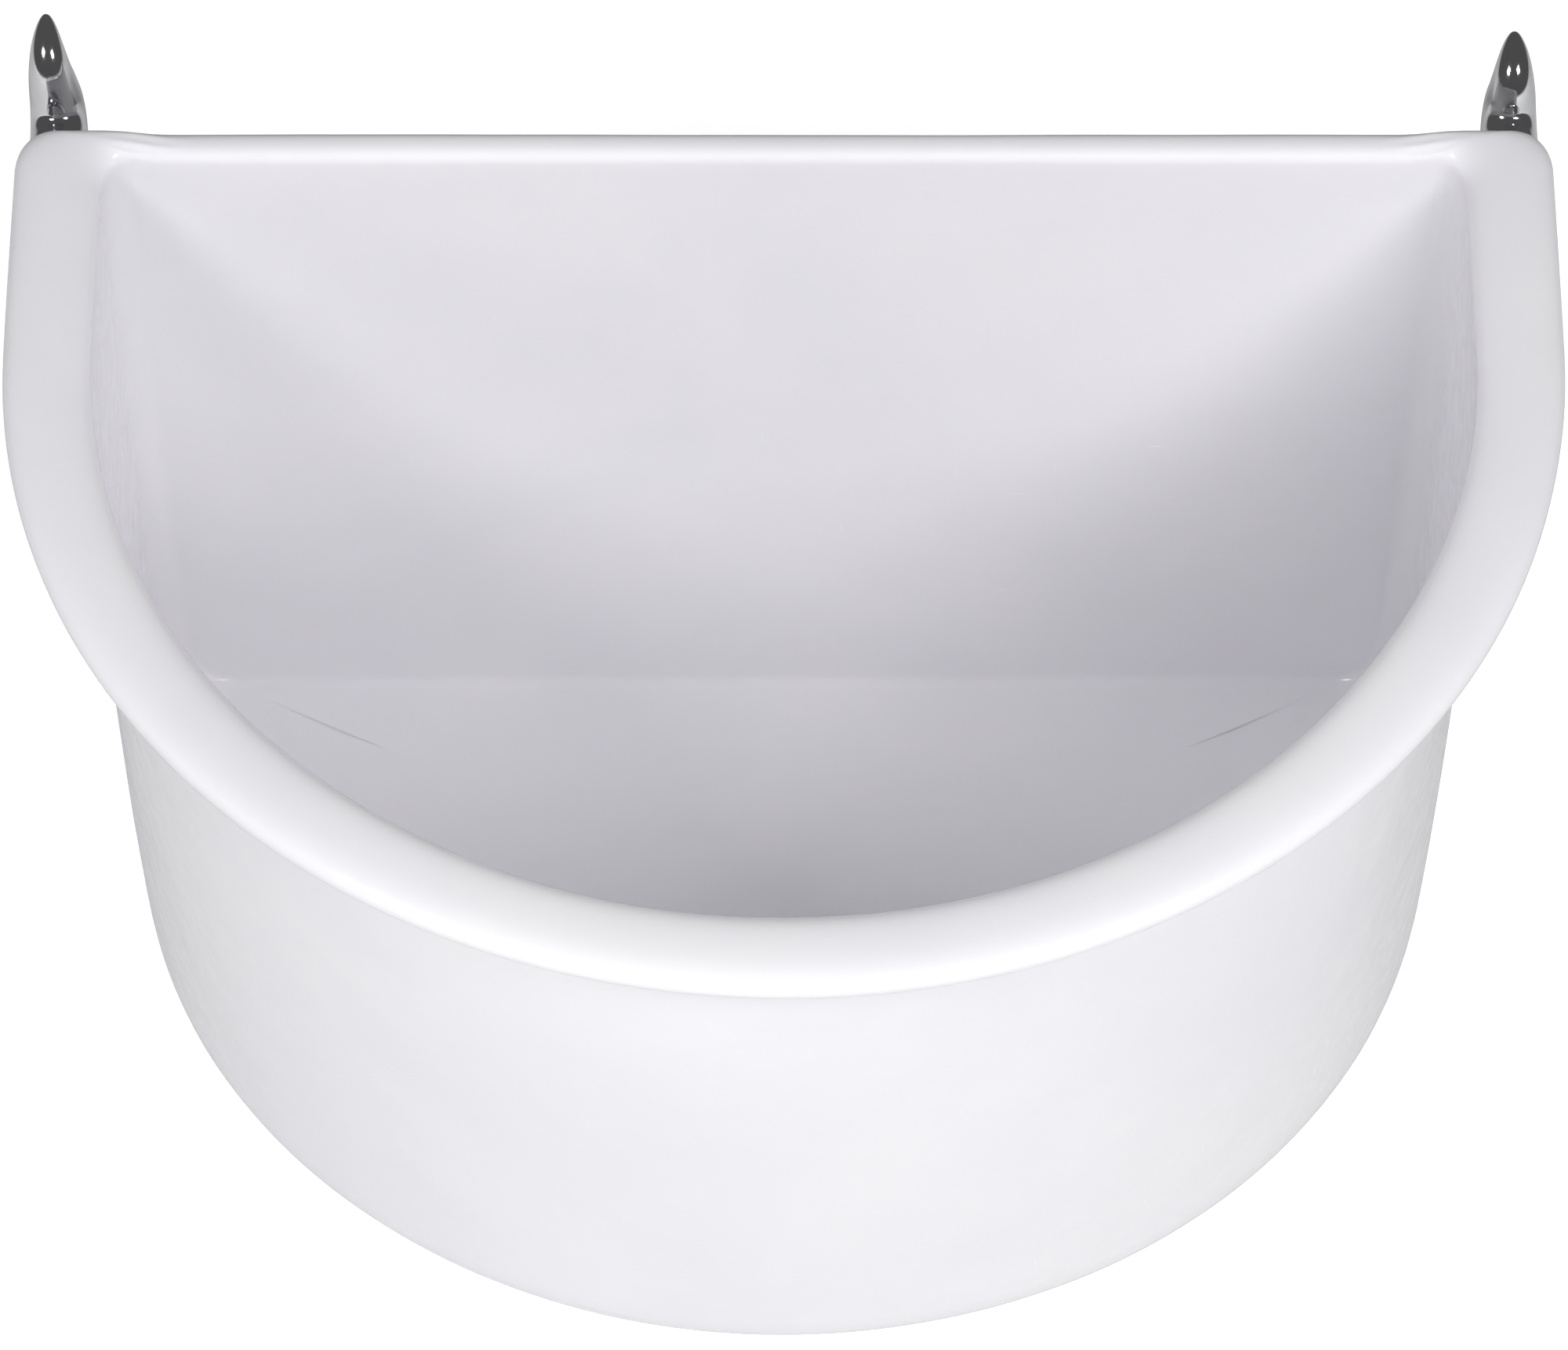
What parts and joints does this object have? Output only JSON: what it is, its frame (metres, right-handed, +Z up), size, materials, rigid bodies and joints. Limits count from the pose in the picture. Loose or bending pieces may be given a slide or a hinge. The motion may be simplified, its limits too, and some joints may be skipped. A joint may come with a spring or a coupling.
{
  "type": "hook-over feed bucket",
  "caption": "Half-round moulded feed bucket with a flat back and rolled rim, hung by two swivelling steel claw hooks bolted through its back corners.",
  "frame": {"origin": "on the underside of the flat base, midway across the rim and midway between the rim's front and the back face", "axes": "+Z up out of the mouth; +Y through the flat back, towards whatever the bucket hangs on; +X to the right as seen from the front"},
  "size_m": [0.4, 0.3029, 0.2457],
  "materials": {
    "white_moulding": "glossy white moulded polyethylene with a faint lavender cast, slight ripple and fine scuffs",
    "polished_steel": "mirror-polished steel",
    "zinc_plated_steel": "bright zinc plate, satin",
    "blue_nylon": "plain moulded nylon"
  },
  "bodies": {
    "bucket": {"bucket_shell": "white_moulding", "back_washer_left": "zinc_plated_steel", "back_washer_right": "zinc_plated_steel", "nut_washer_left": "zinc_plated_steel", "nut_washer_right": "zinc_plated_steel"},
    "claw_left": {"hook_left": "polished_steel", "lock_nut_left": "zinc_plated_steel", "nut_insert_left": "blue_nylon"},
    "claw_right": {"hook_right": "polished_steel", "lock_nut_right": "zinc_plated_steel", "nut_insert_right": "blue_nylon"}
  },
  "joints": [
    {"name": "claw_left_swivel", "type": "hinge", "parent": "bucket", "child": "claw_left", "pos_m": [-0.19, 0.13675, 0.2155], "axis": [0, 1, 0], "continuous": true},
    {"name": "claw_right_swivel", "type": "hinge", "parent": "bucket", "child": "claw_right", "pos_m": [0.19, 0.13675, 0.2155], "axis": [0, 1, 0], "continuous": true}
  ]
}
